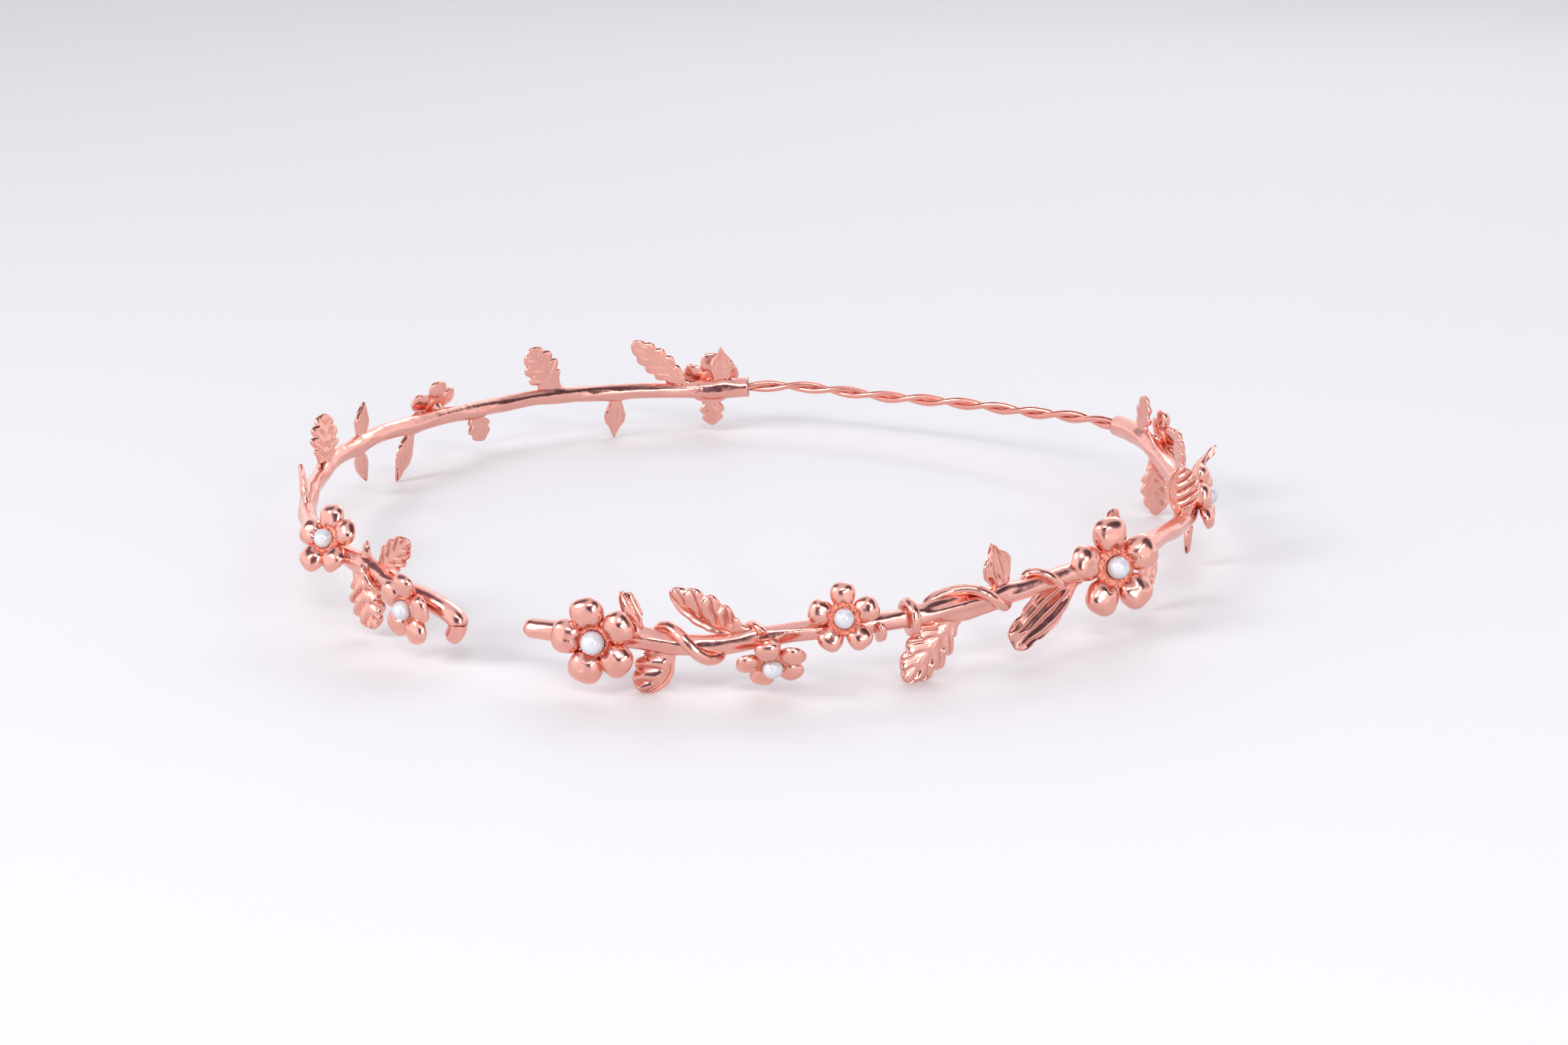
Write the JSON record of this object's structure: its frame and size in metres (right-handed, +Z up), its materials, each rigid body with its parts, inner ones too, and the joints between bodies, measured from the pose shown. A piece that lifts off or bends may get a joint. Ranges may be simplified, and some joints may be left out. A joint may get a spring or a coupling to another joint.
{
  "type": "flower crown",
  "caption": "Open-fronted hair hoop of cast leafy vine with pearl-centred flowers, joined at the back by a springy twisted wire.",
  "frame": {"origin": "on the hoop's axis, in the plane of the surface that the crown lies on", "axes": "+Z up along the hoop's axis; the open front faces -Y and the twisted wire is at +Y; +X is the side of the longer run of flowers"},
  "size_m": [0.1849, 0.1768, 0.0236],
  "materials": {
    "rose_gold": "polished rose-gold plating",
    "wire": "polished rose-gold plating",
    "pearl": "pearlescent white"
  },
  "bodies": {
    "right_half": {"right_stem": "rose_gold", "wire_strand_a": "wire", "wire_strand_b": "wire", "right_flower_1": "rose_gold", "right_flower_2": "rose_gold", "right_flower_3": "rose_gold", "right_flower_4": "rose_gold", "right_flower_5": "rose_gold", "right_flower_6": "rose_gold", "right_pearl_1": "pearl", "right_pearl_2": "pearl", "right_pearl_3": "pearl", "right_pearl_4": "pearl", "right_pearl_5": "pearl", "right_pearl_6": "pearl", "right_leaf_1": "rose_gold", "right_leaf_2": "rose_gold", "right_leaf_3": "rose_gold", "right_leaf_4": "rose_gold", "right_leaf_5": "rose_gold", "right_leaf_6": "rose_gold", "right_leaf_7": "rose_gold", "right_leaf_8": "rose_gold", "right_leaf_9": "rose_gold", "right_leaf_10": "rose_gold", "right_leaf_11": "rose_gold", "right_leaf_12": "rose_gold", "right_leaf_13": "rose_gold", "right_leaf_14": "rose_gold", "right_tendril_1": "rose_gold", "right_tendril_2": "rose_gold", "right_tendril_3": "rose_gold", "right_tendril_4": "rose_gold", "right_tendril_5": "rose_gold", "right_tendril_6": "rose_gold"},
    "left_half": {"left_stem": "rose_gold", "left_flower_1": "rose_gold", "left_flower_2": "rose_gold", "left_flower_3": "rose_gold", "left_flower_4": "rose_gold", "left_pearl_1": "pearl", "left_pearl_2": "pearl", "left_pearl_3": "pearl", "left_pearl_4": "pearl", "left_leaf_1": "rose_gold", "left_leaf_2": "rose_gold", "left_leaf_3": "rose_gold", "left_leaf_4": "rose_gold", "left_leaf_5": "rose_gold", "left_leaf_6": "rose_gold", "left_leaf_7": "rose_gold", "left_leaf_8": "rose_gold", "left_leaf_9": "rose_gold", "left_leaf_10": "rose_gold", "left_leaf_11": "rose_gold", "left_leaf_12": "rose_gold", "left_leaf_13": "rose_gold", "left_leaf_14": "rose_gold", "left_tendril_1": "rose_gold"}
  },
  "joints": [
    {"name": "hoop_flex", "type": "hinge", "parent": "right_half", "child": "left_half", "pos_m": [0.0067, 0.0827, 0.0111], "axis": [0, 0, -1], "range_deg": [-3, 12], "stiffness_Nm_per_rad": 0.35, "deforming": ["wire_strand_a", "wire_strand_b"]}
  ]
}
